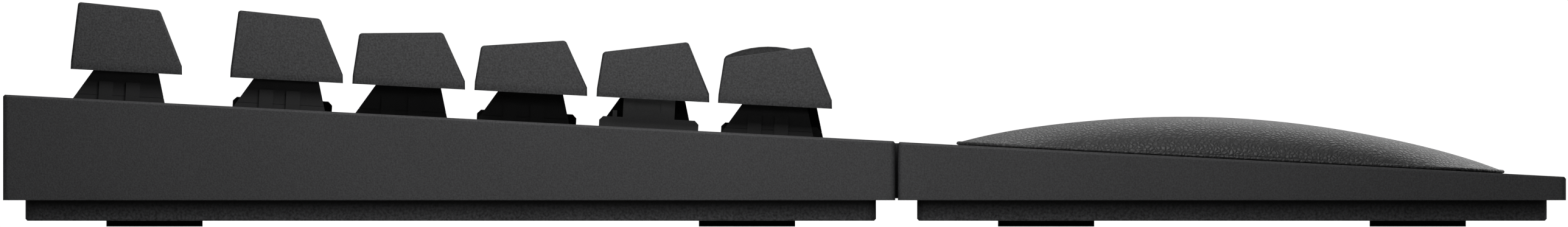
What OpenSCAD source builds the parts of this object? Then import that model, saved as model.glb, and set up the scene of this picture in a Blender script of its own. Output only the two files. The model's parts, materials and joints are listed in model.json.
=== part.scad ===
// Tenkeyless keyboard with a padded wrist rest that magnets hold against its front.
// X runs to the user's right, Y to the back and Z up. The origin is on the desk, under the middle.
// The deck frame follows the slope of the keyboard's top: X, then v to the back, then w out of the top.

/* [Overall] */
// Width of the case beyond the keys' grid, at each side
side_margin = 7.17; // [6:0.01:16]
// Distance along the slope from the function row's middle to the case's rear edge
rear_margin = 19; // [18.5:0.1:26]
// Depth of the wrist rest, front to back
rest_depth = 104.1; // [90:0.1:120]
// Gap between the keyboard and the wrist rest
join_gap = 0.4; // [0.3:0.1:1]
// Width of the raised field on the rest's rear face, which stands against the keyboard
field_w = 320; // [200:10:330]
// Depth of the recess in the keyboard's front face that takes the field
field_lap = 0.15; // [0.1:0.05:0.3]
// Height of the field's foot above the skirt's lower edge
field_lift = 0.3; // [0.1:0.1:1]
// Slope of both tops, in degrees
slope = 3; // [2:0.25:4]
// Height of the case's front top edge above the desk
case_front_h = 13.3; // [13:0.1:16]
// Height of the wrist rest's front top edge above the desk
rest_front_h = 7.75; // [7.5:0.05:10]

/* [Skirts and trays] */
// Height of the skirts' lower edges above the desk
skirt_z = 4.1; // [3.5:0.1:4.4]
// Thickness of the skirts
skirt_t = 2.5; // [2:0.1:2.7]
// Thickness of the tops
top_t = 2.5; // [2.2:0.1:3]
// Radius of the upright corners of the skirts
skirt_corner_r = 0.8; // [0.4:0.1:2]
// Chamfer along the top edges
edge_chamfer = 0.3; // [0.2:0.05:0.6]
// Inset of the trays from the skirts at the sides and the front
tray_inset = 3; // [2.9:0.1:3.4]
// Inset of the keyboard's tray from the skirt at the back
tray_inset_back = 3.5; // [3.2:0.1:3.8]
// Thickness of the trays' floors
tray_floor_t = 2; // [1.6:0.1:2.4]
// Thickness of the trays' walls
tray_wall_t = 2; // [1.6:0.1:2.2]
// Height of the keyboard tray's wall above the desk
tray_top_z = 7.5; // [7:0.1:7.6]
// Height of the rest tray's wall above the desk
rest_tray_top_z = 5; // [4.9:0.1:5.2]
// Radius of the trays' upright corners
tray_corner_r = 2; // [1:0.1:3]
// Chamfer along the trays' lower edges
tray_chamfer = 0.3; // [0.1:0.05:0.6]
// Length of a snap tab between tray and skirt
snap_l = 14; // [8:1:20]
// Height of a snap tab
snap_h = 0.9; // [0.6:0.1:1]
// Depth of a snap tab inside the skirt
snap_bite = 0.7; // [0.4:0.1:1]

/* [Key field] */
// Distance from one key to the next
pitch = 19.05; // [18.8:0.05:19.1]
// Distance along the slope from the case's front edge to the front row
front_row_v = 19; // [18.6:0.1:20]
// Extra gap between the number row and the function row
function_gap = 5.95; // [5.5:0.05:7]
// Margin of the windows in the top beyond the keys' grid
window_margin = 0.3; // [0.1:0.05:0.5]
// Travel of a key
travel = 3.6; // [3:0.1:3.7]

/* [Keycaps] */
// Height of the caps' lower edges above the top of the case
cap_lift = 4.52; // [4.4:0.02:5]
// Gap between two caps
cap_gap = 1.4; // [1.2:0.05:1.6]
// Height of the upright rim round a cap
cap_rim_h = 1.35; // [1:0.05:1.8]
// Thickness of a cap's walls
cap_wall = 1; // [0.8:0.05:1.1]
// Thickness of the space bar's walls
space_wall = 0.8; // [0.6:0.05:0.8]
// Thickness of a cap's roof
cap_roof = 2; // [1.8:0.1:2.1]
// Lean of a cap's sides, in width for each unit of height
cap_side_lean = 0.28; // [0.2:0.01:0.32]
// Depth of the dish in a cap's top
dish_depth = 0.7; // [0.3:0.05:0.8]
// Flat edge left beside the dish
dish_edge = 0.5; // [0.3:0.05:1]
// Radius of the space bar's rounded top
space_top_r = 15.8; // [15:0.1:20]
// Radius of the boss under a cap
boss_r = 2.75; // [2.6:0.05:2.8]
// Height of the boss's foot above the cap's lower edge
boss_foot = 1.43; // [1.4:0.01:1.5]

/* [Switches] */
// Drop of the switch plate below the top of the case
plate_drop = 1; // [1:0.05:1.2]
// Side of a switch's square hole in the plate
switch_hole = 14; // [13.95:0.05:14.1]
// Offset of a switch's housing behind its stem
switch_back = 0.94; // [0.5:0.02:1]
// Offset of the space bar's stem in front of the middle of its cap
space_stem_front = 1.5; // [1:0.1:1.5]
// Side of a housing's flange
flange_side = 15.6; // [15:0.1:15.8]
// Thickness of a housing's flange
flange_t = 0.95; // [0.7:0.05:0.95]
// Length of a housing just above its flange
upper_base_l = 14.35; // [14:0.05:14.4]
// Width of a housing just above its flange
upper_base_w = 14.4; // [14:0.05:14.5]
// Height of the joint between the lower and the upper half above the plate
split_h = 1.7; // [1.5:0.05:1.9]
// Height of the sloping lip on the lower half that the upper half sits over
lip_h = 0.4; // [0.2:0.05:0.6]
// Width of that lip's slope
lip_w = 0.9; // [0.6:0.05:1]
// Height of an upper housing's top above the plate
upper_top = 5.7; // [5.6:0.1:5.8]
// Lean of an upper housing's back face from upright, in degrees
upper_back_lean = 33; // [30:0.5:35]
// Lean of an upper housing's front face from upright, in degrees
upper_front_lean = 14.6; // [12:0.1:16]
// Lean of an upper housing's side faces from upright, in degrees
upper_side_lean = 12; // [8:0.5:14]
// Width of a clip arm on a housing's side
clip_w = 2.2; // [1.6:0.1:2.4]
// Distance of a clip arm from the middle of its housing
clip_place = 2.1; // [1.8:0.1:2.6]
// Height of a clip arm above the plate
clip_top = 3.9; // [3:0.1:4.5]
// Depth of a lower housing under the plate
lower_depth = 5; // [4.9:0.1:5.2]
// Thickness of a lower housing's floor
lower_floor = 0.6; // [0.5:0.05:0.8]
// Radius of the locating post under a switch
post_r = 1.9; // [1.6:0.05:2]
// Length of the locating post under a switch
post_l = 3; // [2.5:0.1:3.2]

/* [Stems and springs] */
// Width of a stem's block
stem_w = 7; // [6.6:0.1:7.1]
// Length of a stem's block, front to back
stem_l = 5.8; // [5.6:0.1:5.9]
// Height of the foot of a stem's block above the plate
stem_foot = 0.4; // [0:0.1:0.6]
// Height of the top of a stem's block above the plate
stem_top = 6.9; // [6.85:0.01:6.92]
// Span of the cross on a stem
cross_span = 4; // [3.8:0.05:4.1]
// Thickness of the cross's arms
cross_t = 1.2; // [1:0.05:1.3]
// Height of the cross
cross_h = 3.4; // [3:0.1:3.5]
// Outer radius of a spring
spring_r = 2; // [1.7:0.05:2]
// Thickness of a spring's wire
spring_wire = 0.4; // [0.3:0.05:0.5]
// Depth of the spring's seat below the top of a stem's block
spring_seat_depth = 1.5; // [1.2:0.1:2]

/* [Stabilisers] */
// Distance of a stabiliser from the middle of a wide key
stab_reach = 11.94; // [11.8:0.01:12.2]
// Distance of a stabiliser from the middle of the space bar
space_stab_reach = 50; // [48:0.5:52]
// Width of a stabiliser's housing
stab_w = 7.2; // [7.1:0.05:7.3]
// Reach of a stabiliser's housing to the front of the key's middle
stab_front = 7.3; // [7:0.1:7.5]
// Reach of a stabiliser's housing behind the key's middle
stab_back = 8.2; // [8:0.05:8.3]
// Height of a stabiliser's shoulders above the plate
stab_shoulder = 2.55; // [2.4:0.05:2.6]
// Chamfer of the shoulders
stab_chamfer = 0.6; // [0.3:0.05:1.2]
// Length of the tower, front to back
stab_tower_l = 8.06; // [7.8:0.02:8.4]
// Offset of the tower behind the key's middle
stab_tower_back = 0.52; // [0.3:0.02:0.6]
// Height of the tower above the plate
stab_tower_top = 6; // [5.6:0.1:6.1]
// Length of the recess in the tower's sides
stab_recess_l = 3.98; // [3:0.02:4.4]
// Height of the recess in the tower's sides
stab_recess_h = 2.35; // [1.5:0.05:2.6]
// Depth of the recess in the tower's sides
stab_recess_t = 0.3; // [0.2:0.05:0.35]
// Distance of the recess behind the key's middle
stab_recess_back = 0.65; // [0.4:0.01:0.8]
// Length of the small post behind the tower
stab_post_l = 0.7; // [0.5:0.05:0.8]
// Height of the small post above the shoulder
stab_post_h = 1; // [0.5:0.05:1.1]
// Distance of the small post behind the key's middle
stab_post_back = 5.8; // [5.4:0.05:5.9]
// Side of a stabiliser's square slider
slider_side = 4; // [3.8:0.05:4.05]
// Radius of the stabiliser wire
wire_r = 0.8; // [0.7:0.05:0.85]
// Distance of the wire's hinge line behind the key's middle
wire_back = 9; // [8.9:0.05:9.2]
// Depth of the wire's hinge line below the plate's top
wire_drop = 3; // [2.9:0.05:3.1]
// Rise of the wire's arms to the sliders when the key is up
wire_rise = 2.2; // [2:0.05:2.3]
// Length of the wire's arms
wire_arm = 11; // [10.6:0.1:11.1]

/* [Plate and circuit board] */
// Thickness of the switch plate
plate_t = 1.5; // [1.2:0.1:1.5]
// Lap of the plate under the edges of the windows
plate_lap = 1.2; // [0.8:0.1:1.3]
// Thickness of the circuit board
board_t = 1.6; // [1.2:0.1:1.8]
// Inset of the board's edges from the plate's edges
board_inset = 1.3; // [1.3:0.1:2]
// Width of the board's tongue behind the socket
tongue_w = 22; // [16:1:30]
// Side of the controller chip
chip_side = 9; // [6:0.5:12]
// Thickness of the controller chip
chip_t = 1; // [0.8:0.1:1.4]
// Distance from the controller chip to the power chip beside it
chip_pitch = 36; // [34:1:60]

/* [Cable socket] */
// Place of the socket across the rear, from the middle
socket_x = -95; // [-120:1:-70]
// Width of the socket's shell
socket_w = 8.94; // [8.8:0.02:9.2]
// Height of the socket's shell
socket_h = 3.26; // [3.1:0.02:3.4]
// Length of the socket's shell
socket_l = 7.35; // [7:0.05:8]
// Thickness of the socket's shell
socket_t = 0.3; // [0.25:0.05:0.4]
// Depth of the socket's mouth behind the rear face
socket_recess = 4.5; // [4:0.1:4.8]
// Width of the recess in the rear wall
recess_w = 12.6; // [12:0.1:14]
// Height of the recess in the rear wall
recess_h = 6.8; // [6.4:0.1:7]

/* [Screws] */
// Distance of the screws from the front face
screw_inset = 6; // [5.8:0.05:6.2]
// Distance of the outer screws from the middle
screw_outer_x = 160; // [150:1:164]
// Distance of the inner screws from the middle
screw_inner_x = 53; // [40:1:70]
// Radius of a screw's shank
screw_r = 1; // [0.8:0.05:1.1]
// Radius of a screw's head
screw_head_r = 1.9; // [1.7:0.05:2]
// Height of a screw's head
screw_head_h = 1.6; // [1.3:0.1:1.8]
// Length of a screw's shank
screw_l = 7.3; // [6.5:0.1:7.4]
// Radius of the posts that the screws bite into
screw_post_r = 2.2; // [2:0.05:2.2]
// Radius of the boss round a screw's head
screw_boss_r = 3.6; // [3.2:0.1:4]

/* [Rubber feet] */
// Height of the rubber feet below the trays
foot_h = 0.9; // [0.6:0.1:1.2]
// Depth of the feet's seats in the trays
foot_seat = 0.6; // [0.4:0.1:0.8]
// Size of a rubber foot, front to back
foot_l = 15; // [10:0.5:16]
// Width of a rubber foot
foot_w = 34; // [20:1:36]
// Radius of a rubber foot's corners
foot_corner_r = 2.5; // [1:0.5:5]
// Distance of the feet's middles from the trays' front and rear edges
foot_inset = 20.1; // [18:0.1:21]
// Distance of the feet's middles from the middle of the keyboard
foot_x = 150; // [145:1:156]

/* [Tilt feet] */
// Distance of a tilt foot's middle from the middle of the keyboard
tilt_x = 105; // [98:1:110]
// Width of a tilt foot
tilt_w = 26; // [18:1:28]
// Length of a tilt foot from its hinge line
tilt_l = 14; // [10:0.5:15]
// Thickness of a tilt foot
tilt_t = 3.4; // [3:0.1:3.6]
// Distance of the hinge line from the tray's rear edge
tilt_hinge_in = 14.2; // [13:0.1:16]
// Gap under a folded foot, above the tray's underside
tilt_lift = 0.2; // [0.1:0.05:0.4]
// Radius of the hinge pins
tilt_pin_r = 1.2; // [1:0.05:1.3]
// Length of the hinge pins
tilt_pin_l = 1.2; // [1:0.1:1.4]
// Thickness of the walls round a tilt foot's pocket
pocket_t = 1.6; // [1.4:0.1:2]

/* [Wrist rest] */
// Margin of the cushion at the front and back of the rest
cushion_margin = 10; // [8:0.5:14]
// Margin of the cushion at the sides of the rest
cushion_side_margin = 10; // [8:0.5:20]
// Height of the cushion's crown above the rest
cushion_crown = 6.45; // [4:0.05:9]
// Height of the seam band round the cushion's foot
cushion_band = 0.45; // [0.3:0.05:1]
// Radius of the cushion's corners
cushion_corner_r = 12; // [6:0.5:20]
// Distance from the cushion's sides over which its top rounds down to them
cushion_fall = 11; // [6:0.5:30]
// Depth of the ribs under the rest's top
rest_rib_h = 2; // [1:0.1:2.4]
// Number of ribs under the rest's top
rest_ribs = 5; // [2:1:9]

/* [Magnets] */
// Distance of the magnets from the middle
magnet_x = 120; // [60:1:140]
// Width of a magnet
magnet_w = 20; // [10:1:24]
// Height of a magnet
magnet_h = 5; // [3:0.1:5.4]
// Thickness of a magnet
magnet_t = 1.8; // [1.4:0.1:2]
// Wall left in front of a magnet
magnet_cover = 1; // [0.8:0.05:1.1]

/* [Clearances] */
// Clearance round what is pushed or placed in a seat
seat_gap = 0.1; // [0.05:0.01:0.12]
// Clearance between faces that rest on each other
face_gap = 0.05; // [0.03:0.01:0.06]
// Clearance of a sliding part in its guide
slide_gap = 0.2; // [0.15:0.01:0.22]
// Clearance of the tilt feet's pins in their holes
pin_gap = 0.08; // [0.04:0.01:0.1]

/* [Hidden] */
$fn = 48;
eps = 1;
tall = 60;

// Each row lists its keys' widths in units of the pitch, from the left. A negative width is a gap.
unit_rows = [
    [1, -1, 1, 1, 1, 1, -0.5, 1, 1, 1, 1, -0.5, 1, 1, 1, 1, -0.25, 1, 1, 1],
    [1, 1, 1, 1, 1, 1, 1, 1, 1, 1, 1, 1, 1, 2, -0.25, 1, 1, 1],
    [1.5, 1, 1, 1, 1, 1, 1, 1, 1, 1, 1, 1, 1, 1.5, -0.25, 1, 1, 1],
    [1.75, 1, 1, 1, 1, 1, 1, 1, 1, 1, 1, 1, 2.25],
    [2.25, 1, 1, 1, 1, 1, 1, 1, 1, 1, 1, 2.75, -1.25, 1],
    [1.25, 1.25, 1.25, 6.25, 1.25, 1.25, 1.25, 1.25, -0.25, 1, 1, 1]
];
field_units = 18.25;
main_units = 15;
FUNCTION_ROW = 0;
NUMBER_ROW = 1;
TOP_ROW = 2;
HOME_ROW = 3;
LOW_ROW = 4;
BOTTOM_ROW = 5;

body_w = field_units * pitch + 2 * side_margin;
case_depth = (row_v(FUNCTION_ROW) + rear_margin) * cos(slope);
total_depth = case_depth + join_gap + rest_depth;
case_back_y = total_depth / 2;
case_front_y = case_back_y - case_depth;
rest_back_y = case_front_y - join_gap;
rest_front_y = -total_depth / 2;
tray_z = foot_h;

// The caps' side shapes, row by row: depth at the foot, then the front and back ends of the top line.
// Each end is its distance from the cap's middle and its height above the cap's lower edge.
cap_depth = [17.4, 17.6, 17.6, 17.6, 17.6, 17.8];
cap_top_front = [[4.75, 9.86], [4.75, 9.86], [4.89, 8.74], [4.99, 8.51], [5.01, 9.27], [5.1, 9.57]];
cap_top_back = [[8.05, 10.53], [8.05, 10.53], [8.13, 7.93], [8.11, 6.96], [8.17, 7], [8.27, 6.98]];
space_top_front = [5.1, 8.1];
space_top_back = [8.27, 7.27];
cap_front_draft = 0.1;

function sum_to(list, n) = n <= 0 ? 0 : abs(list[n - 1]) + sum_to(list, n - 1);
function row_keys(row) = [
    for (i = [0 : len(unit_rows[row]) - 1])
        if (unit_rows[row][i] > 0) [sum_to(unit_rows[row], i) + unit_rows[row][i] / 2, unit_rows[row][i]]
];
function grid_x(units) = (units - field_units / 2) * pitch;
function key_x(key) = grid_x(row_keys(key[0])[key[1]][0]);
function key_units(key) = row_keys(key[0])[key[1]][1];
function row_v(row) = front_row_v + (BOTTOM_ROW - row) * pitch + (row == FUNCTION_ROW ? function_gap : 0);
function is_space(key) = key_units(key) > 3;
function stem_v(key) = is_space(key) ? -space_stem_front : 0;
function stab_places(key) =
    is_space(key) ? [-space_stab_reach, space_stab_reach]
    : key_units(key) >= 2 ? [-stab_reach, stab_reach]
    : [];

all_keys = [
    for (row = [FUNCTION_ROW : BOTTOM_ROW])
        for (i = [0 : len(row_keys(row)) - 1]) [row, i]
];
wide_keys = [for (key = all_keys) if (key_units(key) >= 2) key];

// One node for each letter, each stabilised key and its wire, and each block of the keys that are left.
letter_rows = [[TOP_ROW, "qwertyuiop"], [HOME_ROW, "asdfghjkl"], [LOW_ROW, "zxcvbnm"]];
wide_names = ["backspace", "enter", "left_shift", "right_shift", "space"];
block_names = [
    "function_keys", "number_and_symbol_keys", "tab_and_caps_keys",
    "modifier_keys", "navigation_keys", "arrow_keys"
];
function_block = [for (i = [0 : 15]) [FUNCTION_ROW, i]];
symbol_block = concat(
    [for (i = [0 : 12]) [NUMBER_ROW, i]],
    [for (i = [11 : 13]) [TOP_ROW, i]],
    [for (i = [10 : 11]) [HOME_ROW, i]],
    [for (i = [8 : 10]) [LOW_ROW, i]]
);
tab_and_caps_block = [[TOP_ROW, 0], [HOME_ROW, 0]];
modifier_block = [for (i = [0, 1, 2, 4, 5, 6, 7]) [BOTTOM_ROW, i]];
navigation_block = concat([for (i = [14 : 16]) [NUMBER_ROW, i]], [for (i = [14 : 16]) [TOP_ROW, i]]);
arrow_block = concat([[LOW_ROW, 12]], [for (i = [8 : 10]) [BOTTOM_ROW, i]]);
blocks = [function_block, symbol_block, tab_and_caps_block, modifier_block, navigation_block, arrow_block];

module deck() {
    translate([0, case_front_y, case_front_h]) rotate([slope, 0, 0]) children();
}

// Places children at a key's middle on the switch plate.
module at_key(key) {
    deck() translate([key_x(key), row_v(key[0]), -plate_drop]) children();
}

module rounded_plan(w, d, r) {
    square([w - 2 * r, d], center = true);
    square([w, d - 2 * r], center = true);
    for (x = [-1, 1], y = [-1, 1]) translate([x * (w / 2 - r), y * (d / 2 - r)]) circle(r);
}

// Turns a profile drawn as front-to-back and height into a solid across the keyboard.
module across(w) {
    rotate([90, 0, 90]) translate([0, 0, -w / 2]) linear_extrude(w) children();
}

// Turns a profile drawn as width and height into a solid that runs to the back.
module to_back(l) {
    translate([0, l / 2, 0]) rotate([90, 0, 0]) linear_extrude(l) children();
}

// A skirted top: sloping, with upright walls, chamfered top edges and rounded corners.
module skirted_block(front_y, depth, front_h) {
    rise = depth * tan(slope);
    c = edge_chamfer;
    along = depth / cos(slope) + 2 * eps;
    intersection() {
        translate([0, front_y, 0]) across(body_w)
            polygon([
                [0, skirt_z], [0, front_h - c], [c, front_h + c * tan(slope)],
                [depth - c, front_h + rise - c * tan(slope)], [depth, front_h + rise - c], [depth, skirt_z]
            ]);
        translate([0, front_y + depth / 2, 0]) linear_extrude(tall)
            rounded_plan(body_w, depth, skirt_corner_r);
        translate([0, front_y, front_h]) rotate([slope, 0, 0]) translate([0, along / 2 - eps, 0])
            to_back(along) polygon([
                [-body_w / 2, -tall], [-body_w / 2, -c], [c - body_w / 2, 0],
                [body_w / 2 - c, 0], [body_w / 2, -c], [body_w / 2, -tall]
            ]);
    }
}

// The hollow under a skirted top.
module skirt_hollow(front_y, depth, front_h) {
    inner = depth - 2 * skirt_t;
    start_h = front_h + skirt_t * tan(slope) - top_t / cos(slope);
    translate([0, front_y + skirt_t, 0]) across(body_w - 2 * skirt_t)
        polygon([
            [0, skirt_z - eps], [0, start_h],
            [inner, start_h + inner * tan(slope)], [inner, skirt_z - eps]
        ]);
}

// A tray with a chamfered lower edge, as a solid block or as its hollow.
module tray_block(front_y, back_y, top_z) {
    w = body_w - 2 * tray_inset;
    d = back_y - front_y;
    c = tray_chamfer;
    translate([0, (front_y + back_y) / 2, 0]) intersection() {
        translate([0, 0, tray_z]) linear_extrude(top_z - tray_z) rounded_plan(w, d, tray_corner_r);
        across(w) polygon([
            [-d / 2 + c, tray_z], [-d / 2, tray_z + c], [-d / 2, top_z],
            [d / 2, top_z], [d / 2, tray_z + c], [d / 2 - c, tray_z]
        ]);
        to_back(d) polygon([
            [-w / 2 + c, tray_z], [-w / 2, tray_z + c], [-w / 2, top_z],
            [w / 2, top_z], [w / 2, tray_z + c], [w / 2 - c, tray_z]
        ]);
    }
}

module tray_hollow(front_y, back_y) {
    t = tray_wall_t;
    translate([0, (front_y + back_y) / 2, tray_z + tray_floor_t]) linear_extrude(tall)
        rounded_plan(body_w - 2 * tray_inset - 2 * t, back_y - front_y - 2 * t, max(tray_corner_r - t, 0.4));
}

// Snap tabs on a tray's long walls. With a gap they are the pockets in the skirt.
module snaps(front_y, back_y, skirt_front_y, skirt_back_y, z, gap) {
    for (x = [-snap_place, 0, snap_place]) {
        for (side = [-1, 1]) {
            from = side < 0 ? skirt_front_y + skirt_t - snap_bite - gap : back_y - eps;
            to = side < 0 ? front_y + eps : skirt_back_y - skirt_t + snap_bite + gap;
            translate([x - snap_l / 2 - gap, from, z - snap_h / 2 - gap])
                cube([snap_l + 2 * gap, to - from, snap_h + 2 * gap]);
        }
    }
}
snap_place = 85;
tray_front_y = case_front_y + tray_inset;
tray_back_y = case_back_y - tray_inset_back;
rest_tray_front_y = rest_front_y + tray_inset;
rest_tray_back_y = rest_back_y - tray_inset;
snap_z = skirt_z + snap_h / 2 + 0.9;
rest_snap_z = rest_tray_top_z - snap_h / 2;

screw_inset_back = screw_inset + tray_inset_back - tray_inset;
screw_places = [
    for (x = [-screw_outer_x, -screw_inner_x, screw_inner_x, screw_outer_x])
        for (y = [case_front_y + screw_inset, case_back_y - screw_inset_back]) [x, y]
];
counterbore_z = tray_z + screw_head_h + 0.5;
screw_head_z = counterbore_z - face_gap;
post_foot_z = tray_top_z + face_gap;

// The windows of the top, as [left, right, front, back] on the keys' grid.
half = pitch / 2;
windows = concat(
    [for (span = [[0, 1], [2, 6], [6.5, 10.5], [11, 15], [15.25, field_units]])
        [span[0], span[1], row_v(FUNCTION_ROW) - half, row_v(FUNCTION_ROW) + half]],
    [
        [0, main_units, row_v(BOTTOM_ROW) - half, row_v(NUMBER_ROW) + half],
        [15.25, field_units, row_v(TOP_ROW) - half, row_v(NUMBER_ROW) + half],
        [16.25, 17.25, row_v(BOTTOM_ROW) - half, row_v(LOW_ROW) + half],
        [15.25, field_units, row_v(BOTTOM_ROW) - half, row_v(BOTTOM_ROW) + half]
    ]
);
plate_half_w = field_units * pitch / 2 + window_margin + plate_lap;
plate_front_v = row_v(BOTTOM_ROW) - half - window_margin - plate_lap;
plate_back_v = row_v(FUNCTION_ROW) + half + window_margin + plate_lap;

board_top_w = -plate_drop - lower_depth - face_gap;
board_bottom_w = board_top_w - board_t;
socket_w_mid = board_bottom_w - face_gap - socket_h / 2;
socket_mouth_v = (case_depth - socket_recess + socket_w_mid * sin(slope)) / cos(slope);
socket_mouth_z = case_front_h + socket_mouth_v * sin(slope) + socket_w_mid * cos(slope);

// Seats for the magnets, pressed into a wall from inside. The depth runs from the wall's outer face.
module magnets(face_y, inward, gap) {
    for (x = [-magnet_x, magnet_x]) {
        from = face_y + inward * (magnet_cover + (gap > 0 ? 0 : seat_gap));
        to = face_y + inward * (magnet_cover + magnet_t + (gap > 0 ? eps : seat_gap));
        translate([x - magnet_w / 2 - gap, min(from, to), magnet_z - gap])
            cube([magnet_w + 2 * gap, abs(to - from), magnet_h + 2 * gap]);
    }
}
magnet_z = skirt_z + 1.2;

// Raised field of the rest's rear face. With a gap it is the recess for it, which is open below.
module rest_field(gap) {
    foot = gap > 0 ? skirt_z - eps : skirt_z + field_lift;
    reach = gap > 0 ? join_gap + field_lap : join_gap + field_lap - face_gap;
    translate([-field_w / 2 - gap, rest_back_y - eps, foot])
        cube([field_w + 2 * gap, eps + reach, case_front_h - edge_chamfer + gap - foot]);
}

// Top of the case: a one-piece frame with skirts. The plate lies in a step under its windows.
module top_case() {
    color([0.2, 0.2, 0.2]) difference() {
        union() {
            difference() {
                skirted_block(case_front_y, case_depth, case_front_h);
                skirt_hollow(case_front_y, case_depth, case_front_h);
            }
            intersection() {
                for (p = screw_places) translate([p[0], p[1], post_foot_z])
                    cylinder(r = screw_post_r, h = tall);
                skirted_block(case_front_y, case_depth, case_front_h);
            }
        }
        deck() {
            g = seat_gap;
            translate([-plate_half_w - g, plate_front_v - g, -plate_drop - plate_t - eps])
                cube([2 * (plate_half_w + g), plate_back_v - plate_front_v + 2 * g, plate_t + eps]);
            for (n = windows) {
                m = window_margin;
                translate([grid_x(n[0]) - m, n[2] - m, -top_t - eps])
                    cube([grid_x(n[1]) - grid_x(n[0]) + 2 * m, n[3] - n[2] + 2 * m, top_t + 2 * eps]);
            }
        }
        for (p = screw_places)
            translate([p[0], p[1], post_foot_z - eps])
                cylinder(r = screw_r + face_gap, h = screw_tip_z - post_foot_z + eps);
        translate([socket_x, case_back_y - skirt_t / 2, socket_mouth_z])
            cube([recess_w, skirt_t + 2 * eps, recess_h], center = true);
        snaps(tray_front_y, tray_back_y, case_front_y, case_back_y, snap_z, seat_gap);
        magnets(case_front_y, 1, seat_gap);
        rest_field(slide_gap);
    }
}
screw_tip_z = screw_head_z + screw_l + seat_gap;

// Pads of rubber stuck in shallow seats. With a gap they are the seats.
module foot_pads(front_y, back_y, gap) {
    for (x = [-foot_x, foot_x], y = [front_y + foot_inset, back_y - foot_inset])
        translate([x, y, gap > 0 ? -eps : 0])
            linear_extrude(tray_z + foot_seat + (gap > 0 ? eps : -face_gap))
                rounded_plan(foot_w + 2 * gap, foot_l + 2 * gap, foot_corner_r);
}

tilt_tip_top = 1;
tilt_tip_low = 1.4;
tilt_axis_y = tray_back_y - tilt_hinge_in;
tilt_axis_z = tray_z + tilt_lift + tilt_t / 2;
pocket_gap = 0.5;
pocket_back = tilt_t / 2 + 1.2;
pocket_l = tilt_l + pocket_gap + pocket_back;
pocket_top_z = tilt_axis_z + tilt_t / 2 + pocket_gap;

// A tilt foot's pocket. With a margin it is the block round the pocket.
module tilt_pocket(margin) {
    low = margin > 0 ? 0 : -eps;
    translate([-tilt_w / 2 - pocket_gap - margin, tilt_axis_y - tilt_l - pocket_gap - margin, tray_z + low])
        cube([
            tilt_w + 2 * (pocket_gap + margin), pocket_l + 2 * margin,
            pocket_top_z - tray_z - low + margin
        ]);
}

// Posts on the tray's floor that carry the circuit board between the rows.
support_x = [-150, -75, 0, 75, 150];
support_r = 2.5;
module board_supports() {
    intersection() {
        deck() for (x = support_x, k = [0.5, 2.5, 4.5])
            translate([x, front_row_v + k * pitch, board_bottom_w - face_gap - tall])
                cylinder(r = support_r, h = tall);
        tray_block(tray_front_y, tray_back_y, tall);
    }
}

// Bottom of the case: a tray inside the skirt, with screw bosses and pockets for the tilt feet.
module bottom_case() {
    color([0.13, 0.13, 0.13]) difference() {
        union() {
            difference() {
                tray_block(tray_front_y, tray_back_y, tray_top_z);
                tray_hollow(tray_front_y, tray_back_y);
            }
            intersection() {
                for (p = screw_places) {
                    translate([p[0], p[1], tray_z]) cylinder(r = screw_post_r, h = tray_top_z - tray_z);
                    translate([p[0], p[1], tray_z])
                        cylinder(r = screw_boss_r, h = counterbore_z - tray_z + screw_ledge_t);
                }
                tray_block(tray_front_y, tray_back_y, tray_top_z);
            }
            for (side = [-1, 1]) translate([side * tilt_x, 0, 0]) tilt_pocket(pocket_t);
            board_supports();
            snaps(tray_front_y, tray_back_y, case_front_y, case_back_y, snap_z, 0);
        }
        for (p = screw_places) {
            translate([p[0], p[1], tray_z - eps])
                cylinder(r = screw_head_r + slide_gap, h = counterbore_z - tray_z + eps);
            translate([p[0], p[1], tray_z]) cylinder(r = screw_r + seat_gap, h = tall);
        }
        for (side = [-1, 1]) translate([side * tilt_x, 0, 0]) {
            tilt_pocket(0);
            translate([-tilt_w / 2 - pocket_gap - pocket_t - eps, tilt_axis_y, tilt_axis_z])
                rotate([0, 90, 0])
                    cylinder(r = tilt_pin_r + pin_gap, h = tilt_w + 2 * (pocket_gap + pocket_t + eps));
        }
        foot_pads(tray_front_y, tray_back_y, seat_gap);
    }
}
screw_ledge_t = 1;

module stab_cut(key, w, front, back) {
    for (x = stab_places(key)) translate([x, (back - front) / 2]) square([w, front + back], center = true);
}

// Plate of black-coated steel that the switches and the stabilisers clip into.
module switch_plate() {
    color([0.08, 0.08, 0.08]) deck() translate([0, 0, -plate_drop - plate_t])
        linear_extrude(plate_t - face_gap) difference() {
            translate([-plate_half_w, plate_front_v])
                square([2 * plate_half_w, plate_back_v - plate_front_v]);
            for (key = all_keys) translate([key_x(key), row_v(key[0]) + stem_v(key) + switch_back])
                square(switch_hole, center = true);
            for (key = wide_keys) translate([key_x(key), row_v(key[0])])
                stab_cut(key, stab_lower_w + 2 * seat_gap,
                    stab_lower_front + seat_gap, stab_lower_back + seat_gap);
        }
}

// Circuit board with the controller on its underside and a tongue for the socket.
module circuit_board() {
    board_front_v = plate_front_v + board_inset;
    board_back_v = plate_back_v - board_inset;
    half_w = plate_half_w - board_inset;
    color([0.05, 0.16, 0.09]) deck() {
        translate([0, 0, board_bottom_w]) linear_extrude(board_t) difference() {
            union() {
                translate([-half_w, board_front_v]) square([2 * half_w, board_back_v - board_front_v]);
                translate([socket_x - tongue_w / 2, board_back_v - eps])
                    square([tongue_w, socket_mouth_v - socket_lead - board_back_v + eps]);
            }
            for (key = all_keys) translate([key_x(key), row_v(key[0]) + stem_v(key)])
                circle(post_r + seat_gap);
            for (key = wide_keys) translate([key_x(key), row_v(key[0])])
                stab_cut(key, slider_side + 2 * board_slot_gap, slider_side / 2 + board_slot_gap,
                    slider_side / 2 + board_slot_gap);
        }
        for (x = [socket_x, socket_x + chip_pitch])
            translate([x, row_v(NUMBER_ROW) + half, board_bottom_w - chip_t / 2])
                cube([chip_side, chip_side, chip_t + 2 * face_gap], center = true);
    }
}
socket_lead = 0.4;
board_slot_gap = 0.6;

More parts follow.
